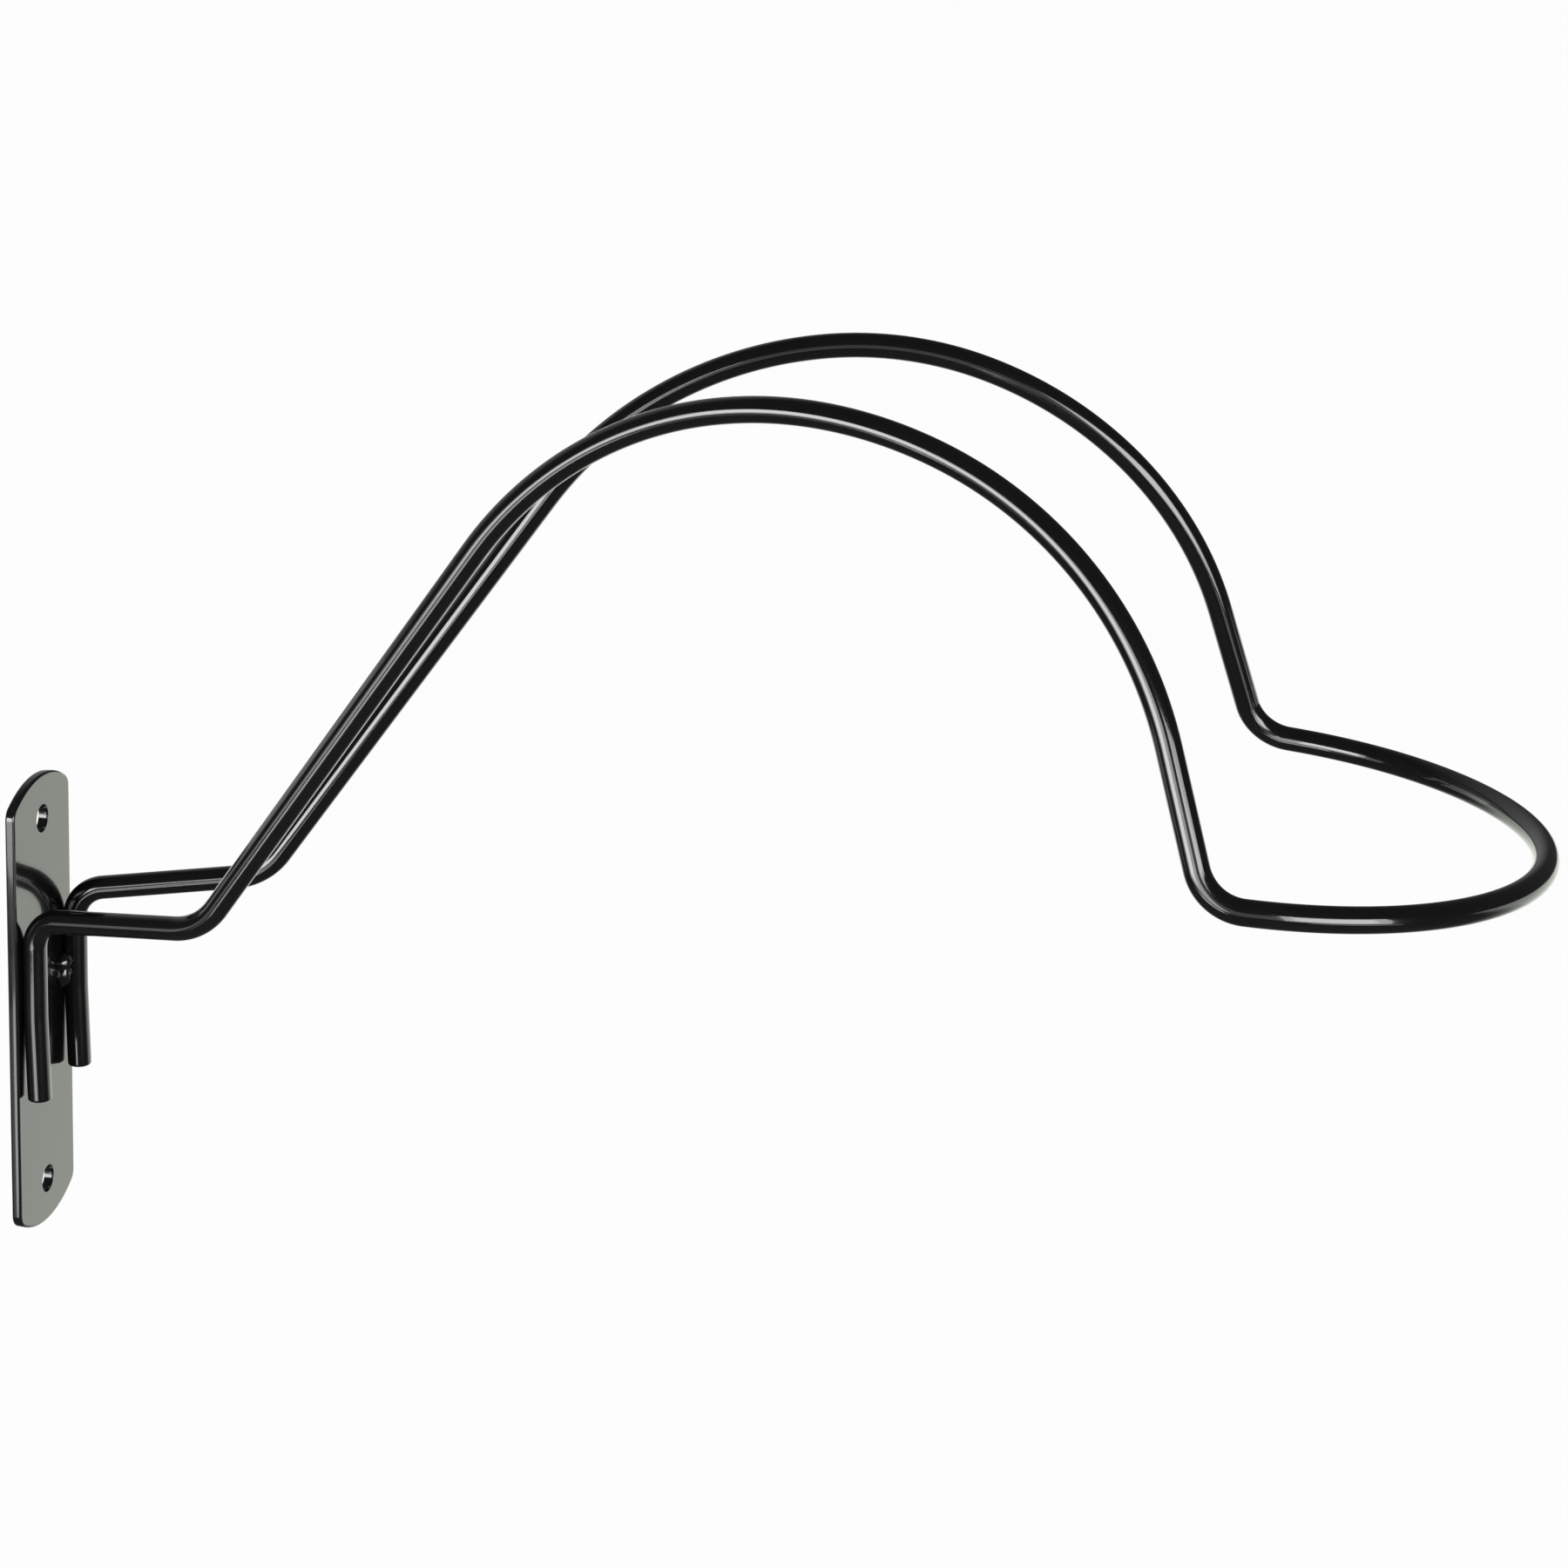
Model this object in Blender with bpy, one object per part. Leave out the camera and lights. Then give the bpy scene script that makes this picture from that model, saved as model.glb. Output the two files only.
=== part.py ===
"""Wall-mounted helmet hanger: one bent round rod welded to a small wall plate.

Metres, +Z up. X runs outward from the wall, Y runs across, and the origin is
the middle of the wall plate's back face.
"""
import math

import bmesh
import bpy
from mathutils import Vector

# Touching pieces keep this much air between their faces
SEAM_GAP = 0.0003

# Wall plate: a flat bar whose ends bow outward
PLATE_WIDTH = 0.0360
PLATE_HEIGHT = 0.1266
PLATE_THICKNESS = 0.0024
PLATE_END_BOW = 0.0058
PLATE_CORNER_RADIUS = 0.0040
PLATE_CORNER_STEPS = 5
PLATE_BOW_STEPS = 8
PLATE_EDGE_ROUND = 0.0004
PLATE_EDGE_SEGMENTS = 2
PLATE_SHARP_ANGLE = math.radians(40.0)

# Screw holes on the plate's centre line
SCREW_HOLE_DIAMETER = 0.0075
SCREW_HOLE_HEIGHTS = (0.0513, -0.0513)
SCREW_HOLE_SIDES = 32

# Rod: quarter-inch round bar
ROD_DIAMETER = 0.00635
ROD_RADIUS = ROD_DIAMETER / 2
ROD_BEVEL_RESOLUTION = 6
ROD_END_CHAMFER = 0.0006
ARC_STEP = math.radians(6.0)
FEWEST_ARC_STEPS = 3

# Legs stand on the plate's face and lean off it a little toward their cut ends
LEG_SPACING = 0.0268
LEG_END_HEIGHT = -0.0225
LEG_END_STANDOFF = 0.0008
LEG_LINE = PLATE_THICKNESS + SEAM_GAP + ROD_RADIUS

# Corners of one half of the rod, from the wall to the tip of the front loop.
# Each holds the place where the straight runs meet and the bend's radius.
HALF_SPACING = LEG_SPACING / 2
WALL_BEND = (Vector((LEG_LINE, HALF_SPACING, 0.0276)), 0.0085)
SEAT_BEND = (Vector((0.0555, 0.0233, 0.0342)), 0.0177)
SHOULDER_BEND = (Vector((0.1517, 0.0356, 0.1770)), 0.0993)
CROWN_BEND = (Vector((0.2165, 0.0498, 0.1885)), 0.0950)
BROW_BEND = (Vector((0.2853, 0.0574, 0.1654)), 0.0983)
FRONT_BEND = (Vector((0.3121, 0.0741, 0.0869)), 0.0125)
LOOP_BEND_POINT = Vector((0.3876, 0.0668, 0.0835))

# Weld beads in the gutters between the plate and the inner side of each leg.
# A bead's angles are measured round the leg from its side nearest the plate.
WELD_LENGTH = 0.0094
WELD_CENTRE_HEIGHT = 0.0048
WELD_WIDTH_ON_PLATE = 0.0036
WELD_ROOT_ANGLE = math.radians(35.0)
WELD_TOE_ANGLE = math.radians(98.0)
WELD_HOLLOW_STEPS = 4
WELD_FREE_STEPS = 5
WELD_BULGE = 0.0009
WELD_LUMPS = 3
WELD_LUMP_DEPTH = 0.16
WELD_END_SIZE = 0.35
WELD_END_FULLNESS = 2.6
WELD_RINGS = 19
WELD_SHARP_ANGLE = math.radians(50.0)

# Gloss black coating: grey level and roughness on each piece
PLATE_COATING = (0.014, 0.26)
ROD_COATING = (0.012, 0.22)
WELD_COATING = (0.016, 0.30)
COATING_BLUE_CAST = 1.08
COATING_IOR = 1.5


def clear_scene():
    """Remove whatever the file holds."""
    for old in list(bpy.data.objects):
        bpy.data.objects.remove(old, do_unlink=True)


def black_coating(name, coating):
    """Smooth black coating over steel."""
    grey, roughness = coating
    material = bpy.data.materials.new(name)
    material.use_nodes = True
    shader = material.node_tree.nodes["Principled BSDF"]
    shader.inputs["Base Color"].default_value = (grey, grey, grey * COATING_BLUE_CAST, 1.0)
    shader.inputs["Metallic"].default_value = 0.0
    shader.inputs["Roughness"].default_value = roughness
    shader.inputs["IOR"].default_value = COATING_IOR
    return material


def add_object(name, data, material):
    """Put a mesh or a curve into the scene under its own name."""
    data.materials.append(material)
    piece = bpy.data.objects.new(name, data)
    bpy.context.scene.collection.objects.link(piece)
    return piece


def bend_arc(before, corner, after, radius):
    """Points of the arc that rounds the corner between two straight runs."""
    back = (before - corner).normalized()
    ahead = (after - corner).normalized()
    turn = math.pi - back.angle(ahead)
    tangent_length = radius * math.tan(turn / 2)
    centre = corner + (back + ahead).normalized() * radius / math.cos(turn / 2)
    start = corner + back * tangent_length - centre
    end = corner + ahead * tangent_length - centre
    steps = max(FEWEST_ARC_STEPS, math.ceil(turn / ARC_STEP))
    points = []
    for step in range(steps + 1):
        angle = turn * step / steps
        weight_start = math.sin(turn - angle) / math.sin(turn)
        weight_end = math.sin(angle) / math.sin(turn)
        points.append(centre + start * weight_start + end * weight_end)
    return points


def loop_bend():
    """Front loop's bend, whose radius makes its arc end on the centre line."""
    toward_wall = (FRONT_BEND[0] - LOOP_BEND_POINT).normalized()
    across = Vector((0.0, -1.0, 0.0))
    turn = math.pi - toward_wall.angle(across)
    radius = LOOP_BEND_POINT.y / math.tan(turn / 2)
    return (LOOP_BEND_POINT, radius)


def half_rod_path():
    """Centre line from one leg's cut end to the tip of the front loop."""
    leg_end = Vector((LEG_LINE + LEG_END_STANDOFF, HALF_SPACING, LEG_END_HEIGHT))
    loop_tip = Vector((LOOP_BEND_POINT.x, 0.0, LOOP_BEND_POINT.z))
    bends = [WALL_BEND, SEAT_BEND, SHOULDER_BEND, CROWN_BEND, BROW_BEND, FRONT_BEND, loop_bend()]
    corners = [leg_end] + [corner for corner, radius in bends] + [loop_tip]
    path = [leg_end]
    for index, (corner, radius) in enumerate(bends):
        path.extend(bend_arc(corners[index], corner, corners[index + 2], radius))
    return path


def mirrored(points):
    """The same points on the other side of the centre plane."""
    return [Vector((point.x, -point.y, point.z)) for point in points]


def rod_path():
    """Centre line from cut end to cut end, with a short chamfer run at each."""
    half = half_rod_path()
    half[-1].y = 0.0
    whole = half + mirrored(half[-2::-1])
    chamfer_start = (whole[1] - whole[0]).normalized() * ROD_END_CHAMFER
    chamfer_end = (whole[-2] - whole[-1]).normalized() * ROD_END_CHAMFER
    return [whole[0], whole[0] + chamfer_start] + whole[1:-1] + [whole[-1] + chamfer_end, whole[-1]]


def make_rod():
    """One continuous bent bar with both cut ends slightly broken."""
    curve = bpy.data.curves.new("hanger_rod", "CURVE")
    curve.dimensions = "3D"
    curve.bevel_depth = ROD_RADIUS
    curve.bevel_resolution = ROD_BEVEL_RESOLUTION
    curve.use_fill_caps = True
    path = rod_path()
    spline = curve.splines.new("POLY")
    spline.points.add(len(path) - 1)
    for point, place in zip(spline.points, path):
        point.co = (place.x, place.y, place.z, 1.0)
        point.radius = 1.0
    end_radius = 1.0 - ROD_END_CHAMFER / ROD_RADIUS
    spline.points[0].radius = end_radius
    spline.points[-1].radius = end_radius
    spline.use_smooth = True
    add_object("hanger_rod", curve, black_coating("rod_coating", ROD_COATING))


def bowed_end(side):
    """Outline of one plate end: corner, bowed edge, corner. Side is 1 on top."""
    half_width = PLATE_WIDTH / 2
    shoulder = PLATE_HEIGHT / 2 - PLATE_END_BOW
    bow_radius = (half_width ** 2 + PLATE_END_BOW ** 2) / (2 * PLATE_END_BOW)
    half_angle = math.asin(half_width / bow_radius)
    # The corner circle touches the plate's side and the bow from inside
    corner_y = half_width - PLATE_CORNER_RADIUS
    reach = bow_radius - PLATE_CORNER_RADIUS
    bow_centre = shoulder - bow_radius * math.cos(half_angle)
    corner_z = bow_centre + math.sqrt(reach ** 2 - corner_y ** 2)
    touch_angle = math.atan2(corner_y, corner_z - bow_centre)
    outline = []
    for step in range(PLATE_CORNER_STEPS):
        angle = math.pi / 2 - (math.pi / 2 - touch_angle) * step / PLATE_CORNER_STEPS
        outline.append((corner_y + PLATE_CORNER_RADIUS * math.sin(angle),
                        corner_z + PLATE_CORNER_RADIUS * math.cos(angle)))
    for step in range(PLATE_BOW_STEPS):
        angle = touch_angle * (1 - step / PLATE_BOW_STEPS)
        outline.append((bow_radius * math.sin(angle), bow_centre + bow_radius * math.cos(angle)))
    outline.append((0.0, bow_centre + bow_radius))
    outline.extend([(-y, z) for y, z in reversed(outline[:-1])])
    return [(y * side, z * side) for y, z in outline]


def screw_hole_cutter(height):
    """Guide cylinder through the plate, taken away by a Boolean."""
    mesh = bpy.data.meshes.new("screw_hole_cutter")
    shape = bmesh.new()
    bmesh.ops.create_cone(shape, cap_ends=True, segments=SCREW_HOLE_SIDES,
                          radius1=SCREW_HOLE_DIAMETER / 2, radius2=SCREW_HOLE_DIAMETER / 2,
                          depth=PLATE_THICKNESS * 4)
    shape.to_mesh(mesh)
    shape.free()
    cutter = bpy.data.objects.new("screw_hole_cutter", mesh)
    cutter.location = (PLATE_THICKNESS / 2, 0.0, height)
    cutter.rotation_euler = (0.0, math.radians(90.0), 0.0)
    cutter.hide_render = True
    cutter.display_type = "WIRE"
    bpy.context.scene.collection.objects.link(cutter)
    return cutter


def make_plate():
    """Flat bar with bowed ends, softened edges and two screw holes."""
    shape = bmesh.new()
    outline = bowed_end(1) + bowed_end(-1)
    ring = [shape.verts.new((0.0, y, z)) for y, z in outline]
    back = shape.faces.new(ring)
    grown = bmesh.ops.extrude_face_region(shape, geom=[back])
    front_verts = [item for item in grown["geom"] if isinstance(item, bmesh.types.BMVert)]
    bmesh.ops.translate(shape, verts=front_verts, vec=(PLATE_THICKNESS, 0.0, 0.0))
    bmesh.ops.recalc_face_normals(shape, faces=shape.faces)
    mesh = bpy.data.meshes.new("wall_plate")
    shape.to_mesh(mesh)
    shape.free()
    plate = add_object("wall_plate", mesh, black_coating("plate_coating", PLATE_COATING))
    for height in SCREW_HOLE_HEIGHTS:
        cut = plate.modifiers.new("screw_hole", "BOOLEAN")
        cut.operation = "DIFFERENCE"
        cut.solver = "EXACT"
        cut.object = screw_hole_cutter(height)
    soften = plate.modifiers.new("softened_edges", "BEVEL")
    soften.width = PLATE_EDGE_ROUND
    soften.segments = PLATE_EDGE_SEGMENTS
    soften.limit_method = "ANGLE"
    soften.angle_limit = PLATE_SHARP_ANGLE


def leg_stand_off(height):
    """How far the leaning leg stands off the plate's face at a height."""
    lean = (WALL_BEND[0].z - height) / (WALL_BEND[0].z - LEG_END_HEIGHT)
    return SEAM_GAP + LEG_END_STANDOFF * lean


def weld_section(size, stand_off):
    """Cross-section of a bead beside a leg at Y = 0, as X and Y from the plate face.

    The concave side follows the rod from the root of the gutter, the flat side
    follows the plate, and the free side bulges between the two toes.
    """
    clear_radius = ROD_RADIUS + SEAM_GAP
    rod_centre_x = stand_off + ROD_RADIUS
    toe_angle = WELD_ROOT_ANGLE + (WELD_TOE_ANGLE - WELD_ROOT_ANGLE) * size
    section = []
    for step in range(WELD_HOLLOW_STEPS + 1):
        angle = WELD_ROOT_ANGLE + (toe_angle - WELD_ROOT_ANGLE) * step / WELD_HOLLOW_STEPS
        section.append((rod_centre_x - clear_radius * math.cos(angle), -clear_radius * math.sin(angle)))
    root_y = section[0][1]
    leg_toe_x, leg_toe_y = section[-1]
    plate_toe_y = root_y - WELD_WIDTH_ON_PLATE * size
    for step in range(1, WELD_FREE_STEPS):
        along = step / WELD_FREE_STEPS
        swell = WELD_BULGE * size * math.sin(math.pi * along)
        section.append((leg_toe_x + (SEAM_GAP - leg_toe_x) * along + swell,
                        leg_toe_y + (plate_toe_y - leg_toe_y) * along - swell))
    section.append((SEAM_GAP, plate_toe_y))
    section.append((SEAM_GAP, root_y))
    return section


def weld_size(along):
    """Size of the bead along its length: rounded ends and overlapping lumps."""
    fullness = math.sqrt(max(0.0, 1.0 - abs(2.0 * along - 1.0) ** WELD_END_FULLNESS))
    lump = abs(math.sin(math.pi * WELD_LUMPS * along))
    return (WELD_END_SIZE + (1.0 - WELD_END_SIZE) * fullness) * (1.0 - WELD_LUMP_DEPTH * (1.0 - lump))


def make_weld(name, side):
    """One bead on the inner side of a leg. Side is 1 for the leg at +Y."""
    shape = bmesh.new()
    rings = []
    for index in range(WELD_RINGS):
        along = index / (WELD_RINGS - 1)
        height = WELD_CENTRE_HEIGHT + WELD_LENGTH * (along - 0.5)
        section = weld_section(weld_size(along), leg_stand_off(height))
        ring = []
        for x, y in section:
            place = (PLATE_THICKNESS + x, side * (HALF_SPACING + y), height)
            ring.append(shape.verts.new(place))
        rings.append(ring)
    for lower, upper in zip(rings, rings[1:]):
        for index in range(len(lower)):
            following = (index + 1) % len(lower)
            shape.faces.new((lower[index], lower[following], upper[following], upper[index]))
    shape.faces.new(rings[0])
    shape.faces.new(rings[-1])
    bmesh.ops.recalc_face_normals(shape, faces=shape.faces)
    mesh = bpy.data.meshes.new(name)
    shape.to_mesh(mesh)
    shape.free()
    mesh.shade_smooth()
    mesh.set_sharp_from_angle(angle=WELD_SHARP_ANGLE)
    add_object(name, mesh, black_coating(name + "_coating", WELD_COATING))


def main():
    clear_scene()
    make_plate()
    make_rod()
    make_weld("weld_bead_left", 1)
    make_weld("weld_bead_right", -1)


main()
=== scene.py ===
import math
from functools import partial

import bmesh
import bpy
from mathutils import Matrix, Vector, noise


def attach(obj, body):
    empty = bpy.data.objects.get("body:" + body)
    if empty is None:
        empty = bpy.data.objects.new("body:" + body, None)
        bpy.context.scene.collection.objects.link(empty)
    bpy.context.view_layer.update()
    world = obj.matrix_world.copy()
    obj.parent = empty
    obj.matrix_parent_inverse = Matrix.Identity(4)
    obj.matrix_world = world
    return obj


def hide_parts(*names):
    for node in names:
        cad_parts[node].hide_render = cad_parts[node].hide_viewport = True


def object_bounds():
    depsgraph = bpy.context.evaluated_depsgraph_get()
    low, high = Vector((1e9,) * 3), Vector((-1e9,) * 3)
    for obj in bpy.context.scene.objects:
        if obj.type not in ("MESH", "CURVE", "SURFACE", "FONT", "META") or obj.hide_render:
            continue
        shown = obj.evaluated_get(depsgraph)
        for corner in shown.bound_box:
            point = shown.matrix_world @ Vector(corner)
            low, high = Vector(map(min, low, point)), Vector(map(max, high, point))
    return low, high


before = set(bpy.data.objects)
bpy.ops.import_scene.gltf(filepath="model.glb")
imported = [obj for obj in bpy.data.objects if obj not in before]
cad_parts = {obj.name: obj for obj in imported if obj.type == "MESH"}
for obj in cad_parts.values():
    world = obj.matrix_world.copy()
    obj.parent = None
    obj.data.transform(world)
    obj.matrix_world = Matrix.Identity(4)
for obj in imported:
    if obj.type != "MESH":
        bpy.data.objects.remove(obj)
cad_low, cad_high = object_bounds()

MM = 0.001

# Camera of the photograph, in the frame's millimetres and in degrees
IMAGE_WIDTH = 1800
FOCAL_PIXELS = 3995.5
CAMERA_AZIMUTH = 10.918
CAMERA_PITCH = 17.023
CAMERA_ROLL = 2.836
CAMERA_DISTANCE = 869.92
CAMERA_TARGET = Vector((200.51, 0.0, 82.26))
SENSOR_WIDTH = 36.0

# How near and how far the camera sees, in metres
NEAREST_SEEN = 0.01
FARTHEST_SEEN = 100.0

# Wall plate, in millimetres. Its thickness closes the solids' seam gap.
PLATE_WIDTH = 36.0
PLATE_HEIGHT = 126.6
PLATE_THICKNESS = 2.68
PLATE_END_BOW = 5.8
PLATE_CORNER_RADIUS = 4.0
PLATE_ARC_STEPS = 8
PLATE_EDGE_ROUND = 0.7
HOLE_EDGE_ROUND = 0.1
EDGE_STEPS = 5
HOLE_RADIUS = 3.75
HOLE_HEIGHTS = (51.3, -51.3)
HOLE_SIDES = 64

# Rod, in millimetres: corners of one half with their bend radii
ROD_RADIUS = 3.175
ROD_BEVEL_RESOLUTION = 14
CONTACT_GAP = 0.02
LEG_LINE = PLATE_THICKNESS + CONTACT_GAP + ROD_RADIUS
HALF_SPACING = 13.4
LEG_LEAN = 0.72
LEG_END = Vector((LEG_LINE + LEG_LEAN, HALF_SPACING, -22.5))
BENDS = [
    (Vector((LEG_LINE, HALF_SPACING, 1.0)), 60.0),
    (Vector((LEG_LINE, HALF_SPACING, 27.6)), 8.5),
    (Vector((55.5, 23.3, 34.2)), 17.7),
    (Vector((151.7, 35.6, 177.0)), 99.3),
    (Vector((216.5, 49.8, 188.5)), 95.0),
    (Vector((285.3, 57.4, 165.4)), 98.3),
    (Vector((312.1, 74.1, 86.9)), 12.5),
]
LOOP_CORNER = Vector((387.6, 66.8, 83.5))
ARC_STEP = math.radians(1.5)
FEWEST_ARC_STEPS = 3
LONGEST_STEP = 4.0
END_ROUND = 0.6
END_STEPS = 4
END_SUPPORT_DEPTH = 1.0

# Weld beads, in millimetres
WELD_LENGTH = 9.6
WELD_CENTRE = 5.6
WELD_STANDOFF = 0.95
WELD_INWARD = 3.0
WELD_WIDENING = 1.1
WELD_THINNEST = 0.5
WELD_FATTEST = 2.5
WELD_END_POWER = 2.6
WELD_RIPPLES = 2
WELD_RIPPLE_SHIFT = 0.06
WELD_RIPPLE_DEPTH = 0.18
WELD_RIPPLE_POWER = 0.7
WELD_GRAIN = 0.55
WELD_GRAIN_SCALE = 0.5
WELD_GRAIN_OFFSET = 3.0
WELD_SINK = 0.08
WELD_RINGS = 65
WELD_SIDES = 28

# Coating: gloss black, its sheen and tint varied by one noise. Peel depth in metres.
COATING_IOR = 1.5
TOP_LAYER_ROUGHNESS = 0.05
SHEEN_SCALE = 110.0
SHEEN_DETAIL = 5.0
SHEEN_RANGE = (0.75, 1.3)
TINT_RANGE = (0.7, 1.3)
PEEL_DETAIL = 2.0
PEEL_DEPTH = 0.0002

# Studio: lengths in metres, brightness as a share of white
FLOOR_DROP = 0.9
FLOOR_SIZE = 40.0
FLOOR_CENTRE_X = 0.2
FLOOR_COLOUR = (0.86, 0.86, 0.85, 1.0)
FLOOR_ROUGHNESS = 0.9
FLOOR_BACKDROP_SHARE = 0.97
# Painted reflection: the floor glows in reflections, graded from dim to white between these
# distances behind the object.
FLOOR_WHITE_FROM = 0.5
FLOOR_WHITE_TO = 1.8
ROOM_LEVEL = 0.40
ROOM_REFLECTION = 0.045
BACK_REFLECTION = 0.30
BACK_DIRECTION = Vector((-0.72, 0.68, 0.12))
BACK_LOBE_FROM = 0.55
LAMP_DISTANCE = 1.6
# Tint of the floor's painted reflection.
REFLECTED_CAST = (0.94, 1.0, 0.90, 1.0)
WHITE = (1.0, 1.0, 1.0, 1.0)

# Name, azimuth, elevation, width and height in degrees, radiance.
# Azimuth 0 is at -Y, 90 at +X. The dim last one shows the plate's back.
SOFTBOXES = [
    ("left_softbox", -19.0, -2.0, 48.0, 30.0, 3.4),
    ("left_softbox_core", -27.0, 0.5, 26.0, 20.0, 4.6),
    ("left_softbox_side", -47.2, -7.5, 8.6, 18.0, 0.9),
    ("left_softbox_pool", -15.4, -26.4, 25.0, 9.0, 3.4),
    ("left_softbox_pool_edge", -27.0, -26.4, 28.0, 9.0, 0.5),
    ("right_softbox", 43.0, 4.0, 37.0, 34.0, 4.2),
    ("right_softbox_core", 42.0, 5.0, 28.0, 24.0, 2.4),
    ("right_softbox_pool", 50.0, -19.3, 30.0, 6.0, 1.2),
    ("room_glow", 11.0, 0.0, 30.0, 26.0, 0.5),
    ("back_softbox", -95.0, -8.0, 36.0, 32.0, 0.6),
]


def build_camera():
    """Camera at the photograph's viewpoint."""
    azimuth = math.radians(CAMERA_AZIMUTH)
    pitch = math.radians(CAMERA_PITCH)
    roll = math.radians(CAMERA_ROLL)
    forward = Vector((-math.sin(azimuth) * math.cos(pitch),
                      math.cos(azimuth) * math.cos(pitch),
                      -math.sin(pitch)))
    level = Vector((math.cos(azimuth), math.sin(azimuth), 0.0))
    upright = level.cross(forward)
    right = level * math.cos(roll) + upright * math.sin(roll)
    up = upright * math.cos(roll) - level * math.sin(roll)
    data = bpy.data.cameras.new("photo_camera")
    data.sensor_width = SENSOR_WIDTH
    data.lens = FOCAL_PIXELS / IMAGE_WIDTH * SENSOR_WIDTH
    data.clip_start = NEAREST_SEEN
    data.clip_end = FARTHEST_SEEN
    camera = bpy.data.objects.new("photo_camera", data)
    place = (CAMERA_TARGET - forward * CAMERA_DISTANCE) * MM
    camera.matrix_world = Matrix((
        (right.x, up.x, -forward.x, place.x),
        (right.y, up.y, -forward.y, place.y),
        (right.z, up.z, -forward.z, place.z),
        (0.0, 0.0, 0.0, 1.0)))
    bpy.context.scene.collection.objects.link(camera)
    bpy.context.scene.camera = camera


def add_piece(name, data, material, node):
    """Put a finished piece in place of the frame's node."""
    data.materials.append(material)
    piece = bpy.data.objects.new(name, data)
    bpy.context.scene.collection.objects.link(piece)
    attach(piece, "root")
    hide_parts(node)


def finished_mesh(shape, name):
    """Mesh data from a bmesh, with its faces turned outward."""
    bmesh.ops.recalc_face_normals(shape, faces=shape.faces)
    mesh = bpy.data.meshes.new(name)
    shape.to_mesh(mesh)
    shape.free()
    return mesh


def bend_arc(before, corner, after, radius):
    """Points of the arc that rounds the corner between two straight runs."""
    back = (before - corner).normalized()
    ahead = (after - corner).normalized()
    turn = math.pi - back.angle(ahead)
    tangent_length = radius * math.tan(turn / 2)
    centre = corner + (back + ahead).normalized() * radius / math.cos(turn / 2)
    start = corner + back * tangent_length - centre
    end = corner + ahead * tangent_length - centre
    steps = max(FEWEST_ARC_STEPS, math.ceil(turn / ARC_STEP))
    points = []
    for step in range(steps + 1):
        angle = turn * step / steps
        weight_start = math.sin(turn - angle) / math.sin(turn)
        weight_end = math.sin(angle) / math.sin(turn)
        points.append(centre + start * weight_start + end * weight_end)
    return points


def half_rod_path():
    """Centre line from a leg's cut end to the tip of the front loop."""
    toward_wall = (BENDS[-1][0] - LOOP_CORNER).normalized()
    turn = math.pi - toward_wall.angle(Vector((0.0, -1.0, 0.0)))
    bends = BENDS + [(LOOP_CORNER, LOOP_CORNER.y / math.tan(turn / 2))]
    tip = Vector((LOOP_CORNER.x, 0.0, LOOP_CORNER.z))
    corners = [LEG_END] + [corner for corner, radius in bends] + [tip]
    path = [LEG_END]
    for index, (corner, radius) in enumerate(bends):
        path.extend(bend_arc(corners[index], corner, corners[index + 2], radius))
    path[-1].y = 0.0
    return path


def filled_in(path):
    """The same path with no run longer than the longest step."""
    points = [path[0]]
    for before, after in zip(path, path[1:]):
        steps = math.ceil((after - before).length / LONGEST_STEP)
        points.extend([before.lerp(after, step / steps) for step in range(1, steps + 1)])
    return points


def rod_rings():
    """Places along the whole rod with the rod's radius at each."""
    half = filled_in(half_rod_path())
    whole = half + [Vector((p.x, -p.y, p.z)) for p in half[-2::-1]]
    first_run = (whole[1] - whole[0]).normalized()
    last_run = (whole[-2] - whole[-1]).normalized()
    rounding = []
    for step in range(END_STEPS + 1):
        angle = math.pi / 2 * step / END_STEPS
        rounding.append((END_ROUND * (1 - math.cos(angle)),
                         ROD_RADIUS - END_ROUND * (1 - math.sin(angle))))
    start = [(whole[0] + first_run * depth, radius) for depth, radius in rounding]
    start.append((whole[0] + first_run * END_SUPPORT_DEPTH, ROD_RADIUS))
    middle = [(place, ROD_RADIUS) for place in whole[1:-1]]
    finish = [(whole[-1] + last_run * END_SUPPORT_DEPTH, ROD_RADIUS)]
    finish += [(whole[-1] + last_run * depth, radius) for depth, radius in reversed(rounding)]
    return start + middle + finish


def build_rod(material):
    """Smooth coated rod with rounded edges at its cut ends."""
    rings = rod_rings()
    curve = bpy.data.curves.new("coated_rod", "CURVE")
    curve.dimensions = "3D"
    curve.bevel_depth = ROD_RADIUS * MM
    curve.bevel_resolution = ROD_BEVEL_RESOLUTION
    curve.use_fill_caps = True
    spline = curve.splines.new("POLY")
    spline.points.add(len(rings) - 1)
    for point, (place, radius) in zip(spline.points, rings):
        point.co = (*(place * MM), 1.0)
        point.radius = radius / ROD_RADIUS
    spline.use_smooth = True
    add_piece("coated_rod", curve, material, "hanger_rod")


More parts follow.
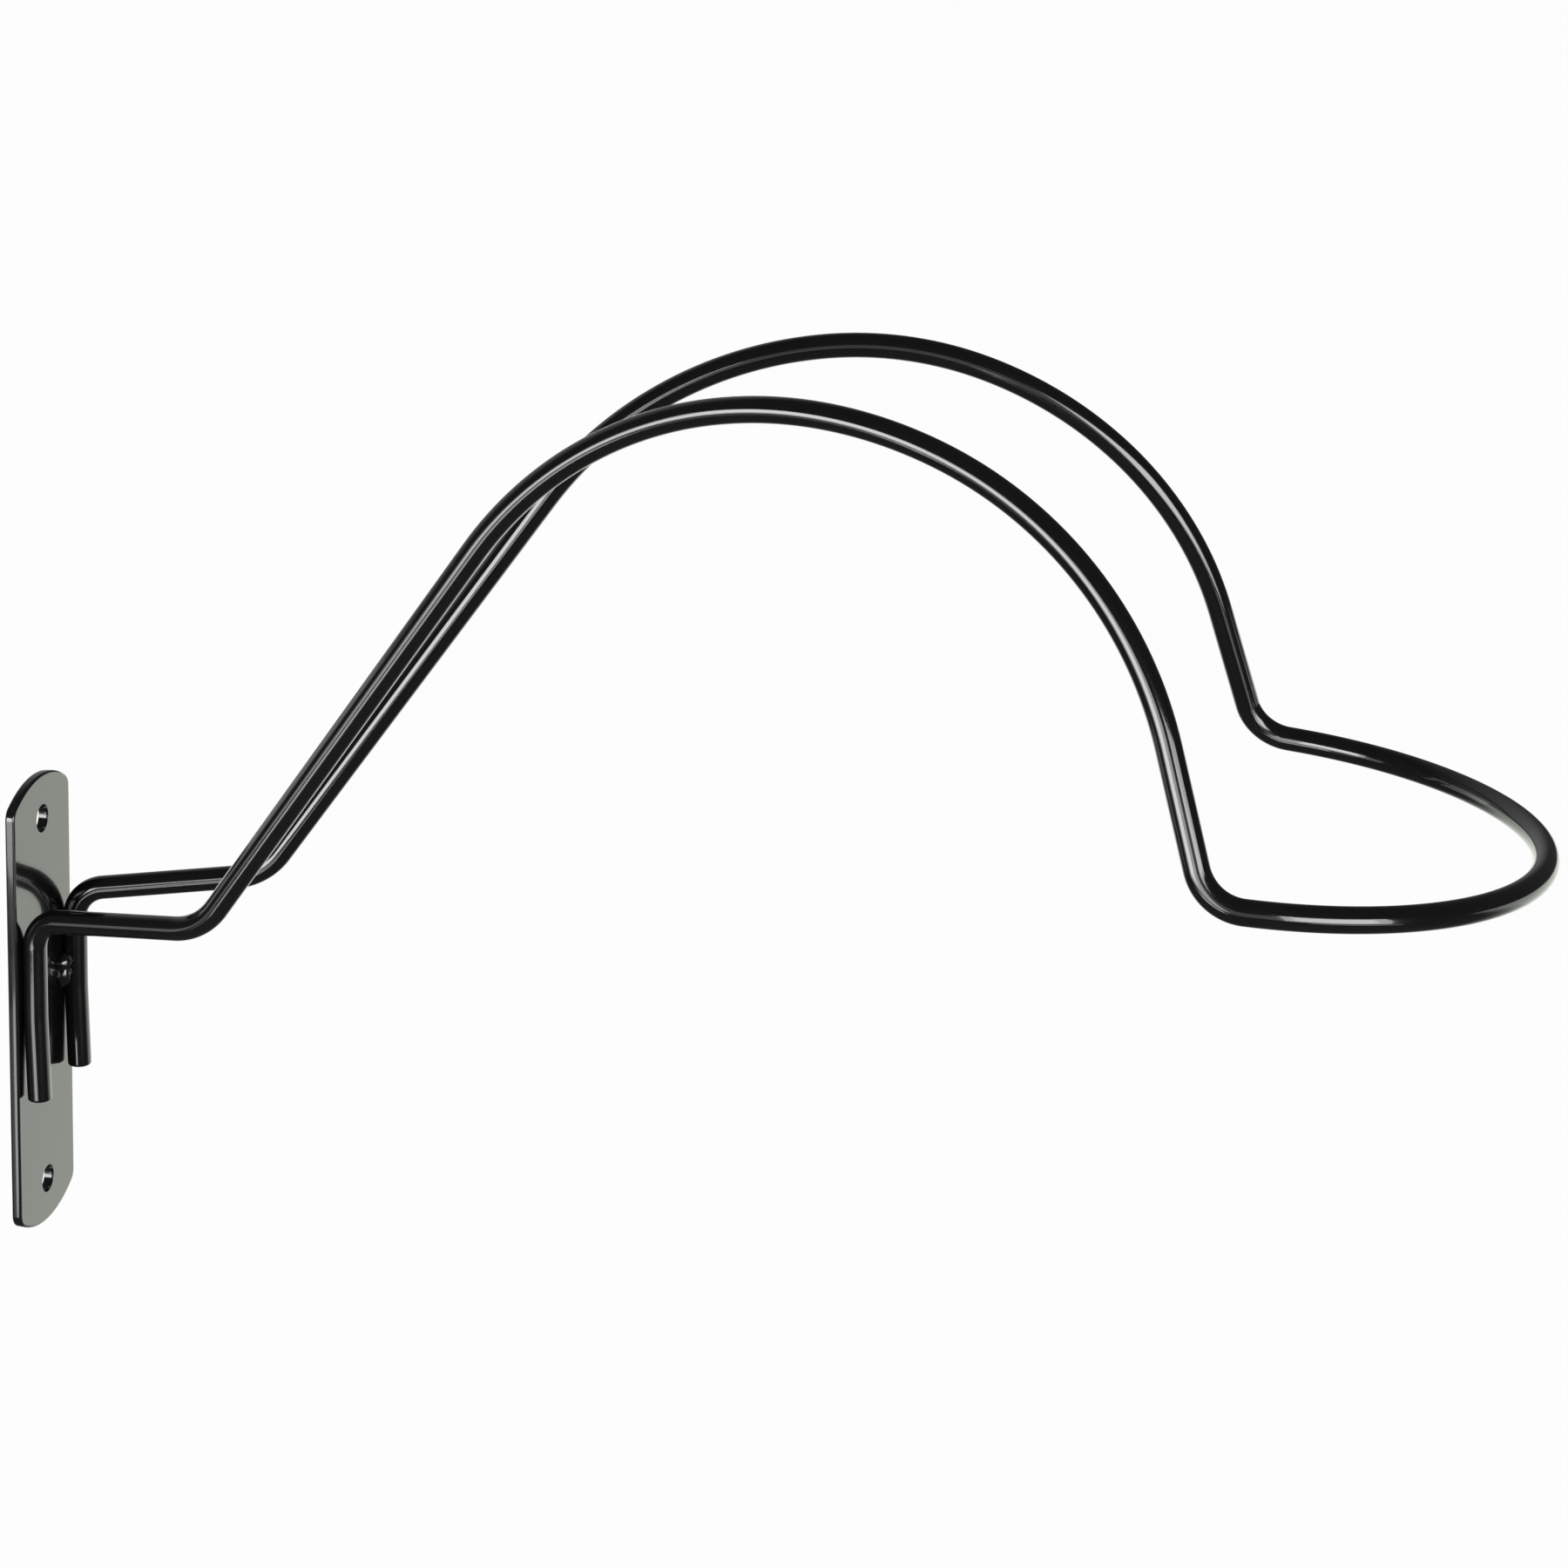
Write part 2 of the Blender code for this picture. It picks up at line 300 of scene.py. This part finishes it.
def plate_outline(inset):
    """Outline of the plate seen from the front, moved inward by the inset."""
    half_width = PLATE_WIDTH / 2
    bow_radius = (half_width ** 2 + PLATE_END_BOW ** 2) / (2 * PLATE_END_BOW)
    bow_centre = PLATE_HEIGHT / 2 - bow_radius
    corner_across = half_width - PLATE_CORNER_RADIUS
    reach = bow_radius - PLATE_CORNER_RADIUS
    corner_up = bow_centre + math.sqrt(reach ** 2 - corner_across ** 2)
    touch = math.atan2(corner_across, corner_up - bow_centre)
    corner_radius = PLATE_CORNER_RADIUS - inset
    corner = []
    for step in range(PLATE_ARC_STEPS):
        angle = math.pi / 2 - (math.pi / 2 - touch) * step / PLATE_ARC_STEPS
        corner.append((corner_across + corner_radius * math.sin(angle),
                       corner_up + corner_radius * math.cos(angle)))
    bow = []
    for step in range(2 * PLATE_ARC_STEPS + 1):
        angle = touch * (1 - step / PLATE_ARC_STEPS)
        bow.append(((bow_radius - inset) * math.sin(angle),
                    bow_centre + (bow_radius - inset) * math.cos(angle)))
    end = corner + bow + [(-across, up) for across, up in reversed(corner)]
    return end + [(-across, -up) for across, up in end]


def hole_outline(height, inset):
    """Outline of a screw hole, widened by the inset."""
    radius = HOLE_RADIUS + inset
    turns = [math.tau * step / HOLE_SIDES for step in range(HOLE_SIDES)]
    return [(radius * math.cos(turn), height + radius * math.sin(turn)) for turn in turns]


def edge_profile(edge_round):
    """Inset and depth below the front face across a rounded edge, front to back."""
    front = []
    for step in range(EDGE_STEPS + 1):
        angle = math.pi / 2 * step / EDGE_STEPS
        front.append((edge_round * (1 - math.sin(angle)), edge_round * (1 - math.cos(angle))))
    return front + [(inset, PLATE_THICKNESS - depth) for inset, depth in reversed(front)]


def build_wall(shape, outline, profile):
    """Wall round an outline. Returns its rings of points, front to back."""
    rings = []
    for inset, depth in profile:
        x = (PLATE_THICKNESS - depth) * MM
        rings.append([shape.verts.new((x, y * MM, z * MM)) for y, z in outline(inset)])
    for front, back in zip(rings, rings[1:]):
        for index in range(len(front)):
            following = (index + 1) % len(front)
            wall = shape.faces.new((front[index], front[following],
                                    back[following], back[index]))
            wall.smooth = True
    return rings


def build_plate(material):
    """Flat bar with rounded edges and two screw holes."""
    shape = bmesh.new()
    front_edges = []
    back_edges = []
    walls = [(plate_outline, edge_profile(PLATE_EDGE_ROUND))]
    for hole_height in HOLE_HEIGHTS:
        walls.append((partial(hole_outline, hole_height), edge_profile(HOLE_EDGE_ROUND)))
    for outline, profile in walls:
        rings = build_wall(shape, outline, profile)
        for ring, edges in ((rings[0], front_edges), (rings[-1], back_edges)):
            for index, vert in enumerate(ring):
                edges.append(shape.edges.get((vert, ring[(index + 1) % len(ring)])))
    for edges in (front_edges, back_edges):
        bmesh.ops.triangle_fill(shape, use_beauty=True, use_dissolve=False, edges=edges)
        for edge in edges:
            edge.smooth = False
    mesh = finished_mesh(shape, "coated_plate")
    add_piece("coated_plate", mesh, material, "wall_plate")


def weld_swell(along):
    """Fullness of the bead along its length: round ends and ripples."""
    fullness = math.sqrt(max(0.0, 1.0 - abs(2.0 * along - 1.0) ** WELD_END_POWER))
    ripple = abs(math.sin(math.pi * WELD_RIPPLES * (along - WELD_RIPPLE_SHIFT)))
    crest = WELD_RIPPLE_DEPTH * ripple ** WELD_RIPPLE_POWER
    return fullness * (1.0 - WELD_RIPPLE_DEPTH + crest)


def weld_ring(shape, side, along):
    """Ring of points round the bead at one place along its length."""
    height = WELD_CENTRE + WELD_LENGTH * (along - 0.5)
    reach = WELD_THINNEST + (WELD_FATTEST - WELD_THINNEST) * weld_swell(along)
    ring = []
    for step in range(WELD_SIDES):
        angle = math.tau * step / WELD_SIDES
        x = PLATE_THICKNESS + WELD_STANDOFF + reach * math.cos(angle)
        y = HALF_SPACING - WELD_INWARD + reach * math.sin(angle) * WELD_WIDENING
        place = Vector((x, y * side, height + WELD_GRAIN_OFFSET))
        grain = WELD_GRAIN * noise.noise(place * WELD_GRAIN_SCALE)
        x = max(x + grain, PLATE_THICKNESS - WELD_SINK)
        ring.append(shape.verts.new((x * MM, side * (y + grain) * MM, height * MM)))
    return ring


def build_weld(name, side, material, node):
    """Rippled bead in the gutter between the plate and a leg's inner side."""
    shape = bmesh.new()
    rings = [weld_ring(shape, side, index / (WELD_RINGS - 1)) for index in range(WELD_RINGS)]
    for lower, upper in zip(rings, rings[1:]):
        for index in range(WELD_SIDES):
            following = (index + 1) % WELD_SIDES
            shape.faces.new((lower[index], lower[following], upper[following], upper[index]))
    shape.faces.new(rings[0])
    shape.faces.new(rings[-1])
    mesh = finished_mesh(shape, name)
    mesh.shade_smooth()
    add_piece(name, mesh, material, node)


def coating(name, colour, roughness, peel_scale, peel_strength):
    """Gloss black coating with a faint orange peel and an uneven sheen."""
    material = bpy.data.materials.new(name)
    material.use_nodes = True
    nodes = material.node_tree.nodes
    links = material.node_tree.links
    shader = nodes["Principled BSDF"]
    shader.inputs["IOR"].default_value = COATING_IOR
    shader.inputs["Coat Weight"].default_value = 1.0
    shader.inputs["Coat IOR"].default_value = COATING_IOR
    shader.inputs["Coat Roughness"].default_value = TOP_LAYER_ROUGHNESS
    place = nodes.new("ShaderNodeTexCoord")
    sheen = nodes.new("ShaderNodeTexNoise")
    sheen.inputs["Scale"].default_value = SHEEN_SCALE
    sheen.inputs["Detail"].default_value = SHEEN_DETAIL
    links.new(place.outputs["Object"], sheen.inputs["Vector"])
    spread = nodes.new("ShaderNodeMapRange")
    spread.inputs["To Min"].default_value = roughness * SHEEN_RANGE[0]
    spread.inputs["To Max"].default_value = roughness * SHEEN_RANGE[1]
    links.new(sheen.outputs["Fac"], spread.inputs["Value"])
    links.new(spread.outputs["Result"], shader.inputs["Roughness"])
    tint = nodes.new("ShaderNodeMix")
    tint.data_type = "RGBA"
    for socket, share in zip("AB", TINT_RANGE):
        tint.inputs[socket].default_value = (*[channel * share for channel in colour], 1.0)
    links.new(sheen.outputs["Fac"], tint.inputs["Factor"])
    links.new(tint.outputs["Result"], shader.inputs["Base Color"])
    peel = nodes.new("ShaderNodeTexNoise")
    peel.inputs["Scale"].default_value = peel_scale
    peel.inputs["Detail"].default_value = PEEL_DETAIL
    links.new(place.outputs["Object"], peel.inputs["Vector"])
    bump = nodes.new("ShaderNodeBump")
    bump.inputs["Strength"].default_value = peel_strength
    bump.inputs["Distance"].default_value = PEEL_DEPTH
    links.new(peel.outputs["Fac"], bump.inputs["Height"])
    links.new(bump.outputs["Normal"], shader.inputs["Normal"])
    links.new(bump.outputs["Normal"], shader.inputs["Coat Normal"])
    return material


def larger(tree, first, second):
    """Socket with the larger of two values."""
    node = tree.nodes.new("ShaderNodeMath")
    node.operation = "MAXIMUM"
    tree.links.new(first, node.inputs[0])
    tree.links.new(second, node.inputs[1])
    return node.outputs["Value"]


def smooth_ramp(tree, value, start, end, low, high):
    """Socket that eases from low to high as the value goes from start to end."""
    node = tree.nodes.new("ShaderNodeMapRange")
    node.interpolation_type = "SMOOTHSTEP"
    node.inputs["From Min"].default_value = start
    node.inputs["From Max"].default_value = end
    node.inputs["To Min"].default_value = low
    node.inputs["To Max"].default_value = high
    tree.links.new(value, node.inputs["Value"])
    return node.outputs["Result"]


def mixed_shaders(tree, share, first, second):
    """Socket with the first shader where the share is 0, the second where 1."""
    node = tree.nodes.new("ShaderNodeMixShader")
    tree.links.new(share, node.inputs["Fac"])
    tree.links.new(first, node.inputs[1])
    tree.links.new(second, node.inputs[2])
    return node.outputs["Shader"]


def seen_directly(tree):
    """Light path, and 1 where the camera sees the surface, also through glass."""
    path = tree.nodes.new("ShaderNodeLightPath")
    direct = larger(tree, path.outputs["Is Camera Ray"], path.outputs["Is Transmission Ray"])
    return path, direct


def build_floor():
    """Plain pale floor whose glow in reflections is painted: white behind the object, dim
    before it.
    """
    bpy.ops.mesh.primitive_plane_add(
        size=FLOOR_SIZE, location=(FLOOR_CENTRE_X, 0.0, cad_low.z - FLOOR_DROP))
    floor = bpy.context.active_object
    floor.name = "floor"
    material = bpy.data.materials.new("pale_floor")
    material.use_nodes = True
    tree = material.node_tree
    nodes = tree.nodes
    links = tree.links
    shader = nodes["Principled BSDF"]
    shader.inputs["Base Color"].default_value = FLOOR_COLOUR
    shader.inputs["Roughness"].default_value = FLOOR_ROUGHNESS
    path, direct = seen_directly(tree)
    place = nodes.new("ShaderNodeTexCoord")
    parts = nodes.new("ShaderNodeSeparateXYZ")
    links.new(place.outputs["Object"], parts.inputs["Vector"])
    # Painted reflection: the floor glows in reflections, dim before the object and white
    # behind it, with a faint green cast.
    behind = smooth_ramp(tree, parts.outputs["Y"], FLOOR_WHITE_FROM, FLOOR_WHITE_TO,
                         ROOM_REFLECTION, 1.0)
    cast = nodes.new("ShaderNodeMix")
    cast.data_type = "RGBA"
    cast.inputs["A"].default_value = REFLECTED_CAST
    cast.inputs["B"].default_value = WHITE
    links.new(direct, cast.inputs["Factor"])
    glow = nodes.new("ShaderNodeEmission")
    links.new(cast.outputs["Result"], glow.inputs["Color"])
    links.new(larger(tree, direct, behind), glow.inputs["Strength"])
    kept = nodes.new("ShaderNodeMath")
    kept.operation = "MULTIPLY"
    kept.inputs[1].default_value = FLOOR_BACKDROP_SHARE
    links.new(larger(tree, direct, path.outputs["Is Glossy Ray"]), kept.inputs[0])
    surface = mixed_shaders(tree, kept.outputs["Value"],
                            shader.outputs["BSDF"], glow.outputs["Emission"])
    links.new(surface, nodes["Material Output"].inputs["Surface"])
    floor.data.materials.append(material)


def build_world():
    """White backdrop with even light. Reflections show it dark, with one paler side."""
    world = bpy.data.worlds.new("studio")
    bpy.context.scene.world = world
    world.use_nodes = True
    tree = world.node_tree
    nodes = tree.nodes
    links = tree.links
    path, direct = seen_directly(tree)
    place = nodes.new("ShaderNodeTexCoord")
    toward = nodes.new("ShaderNodeVectorMath")
    toward.operation = "DOT_PRODUCT"
    toward.inputs[1].default_value = BACK_DIRECTION.normalized()
    links.new(place.outputs["Generated"], toward.inputs[0])
    lobe = smooth_ramp(tree, toward.outputs["Value"], BACK_LOBE_FROM, 1.0,
                       ROOM_REFLECTION, BACK_REFLECTION)
    room = nodes["Background"]
    room.inputs["Color"].default_value = WHITE
    room.inputs["Strength"].default_value = ROOM_LEVEL
    reflected = nodes.new("ShaderNodeBackground")
    reflected.inputs["Color"].default_value = WHITE
    links.new(lobe, reflected.inputs["Strength"])
    white = nodes.new("ShaderNodeBackground")
    white.inputs["Color"].default_value = WHITE
    white.inputs["Strength"].default_value = 1.0
    lit = mixed_shaders(tree, path.outputs["Is Glossy Ray"],
                        room.outputs["Background"], reflected.outputs["Background"])
    surface = mixed_shaders(tree, direct, lit, white.outputs["Background"])
    links.new(surface, nodes["World Output"].inputs["Surface"])


def build_softbox(name, azimuth, elevation, width, height, radiance):
    """Rectangular lamp aimed at the object."""
    turn = math.radians(azimuth)
    lift = math.radians(elevation)
    back = Vector((math.sin(turn) * math.cos(lift),
                   -math.cos(turn) * math.cos(lift),
                   math.sin(lift)))
    data = bpy.data.lights.new(name, "AREA")
    data.shape = "RECTANGLE"
    data.size = 2 * LAMP_DISTANCE * math.tan(math.radians(width / 2))
    data.size_y = 2 * LAMP_DISTANCE * math.tan(math.radians(height / 2))
    data.energy = radiance * math.pi * data.size * data.size_y
    lamp = bpy.data.objects.new(name, data)
    lamp.location = CAMERA_TARGET * MM + back * LAMP_DISTANCE
    lamp.rotation_euler = back.to_track_quat("Z", "Y").to_euler()
    lamp.visible_camera = False
    bpy.context.scene.collection.objects.link(lamp)


build_camera()
build_world()
build_floor()
for softbox in SOFTBOXES:
    build_softbox(*softbox)

rod_black = coating("rod_black", colour=(0.003, 0.003, 0.0033), roughness=0.13,
                    peel_scale=600.0, peel_strength=0.02)
plate_black = coating("plate_black", colour=(0.004, 0.004, 0.004), roughness=0.15,
                      peel_scale=120.0, peel_strength=0.03)
weld_black = coating("weld_black", colour=(0.004, 0.004, 0.004), roughness=0.16,
                     peel_scale=900.0, peel_strength=0.15)
build_rod(rod_black)
build_plate(plate_black)
build_weld("welded_bead_left", 1, weld_black, "weld_bead_left")
build_weld("welded_bead_right", -1, weld_black, "weld_bead_right")

view = bpy.context.scene.view_settings
view.view_transform = "Standard"
